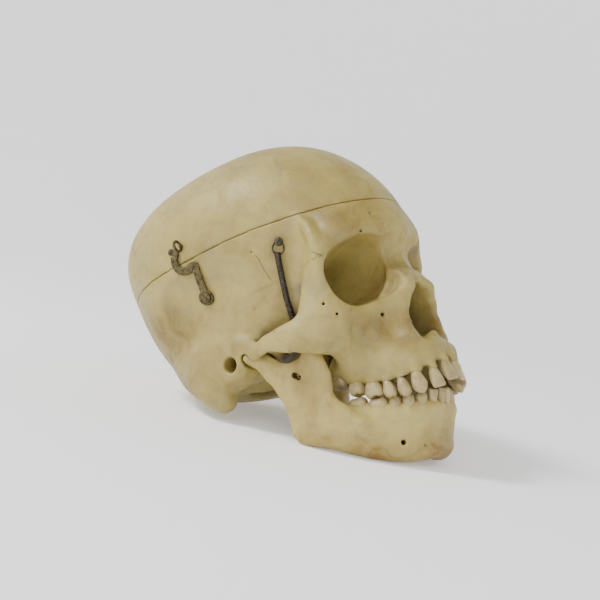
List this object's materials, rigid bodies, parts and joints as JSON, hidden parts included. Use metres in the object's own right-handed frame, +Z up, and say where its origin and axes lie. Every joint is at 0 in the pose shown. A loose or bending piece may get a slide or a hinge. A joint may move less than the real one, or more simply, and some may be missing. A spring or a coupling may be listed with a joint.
{
  "type": "human skull",
  "caption": "Human skull at life size with a cut skullcap, separate jaw and teeth, brass hooks on the cut and springs that hold the jaw shut.",
  "frame": {"origin": "centre of the bounding box, at the floor it lies on", "axes": "+X towards the skull's left side, -Y the way the face looks, +Z up"},
  "size_m": [0.154, 0.224, 0.1591],
  "materials": {
    "bone": "dry, slightly polished bone",
    "tooth_and_bone": "bone with smoother teeth",
    "aged_brass": "aged",
    "spring_steel": "dark, aged"
  },
  "bodies": {
    "root": {"braincase": "bone", "skullcap": "bone", "forehead": "bone", "nasal_bones": "bone", "cheek_left": "bone", "cheek_right": "bone", "upper_jaw": "tooth_and_bone", "jaw": "tooth_and_bone", "hook_left": "aged_brass", "hook_screw_left": "aged_brass", "hook_eye_left": "aged_brass", "spring_pin_left": "spring_steel", "spring_left": "spring_steel", "hook_right": "aged_brass", "hook_screw_right": "aged_brass", "hook_eye_right": "aged_brass", "spring_pin_right": "spring_steel", "spring_right": "spring_steel"}
  },
  "joints": []
}
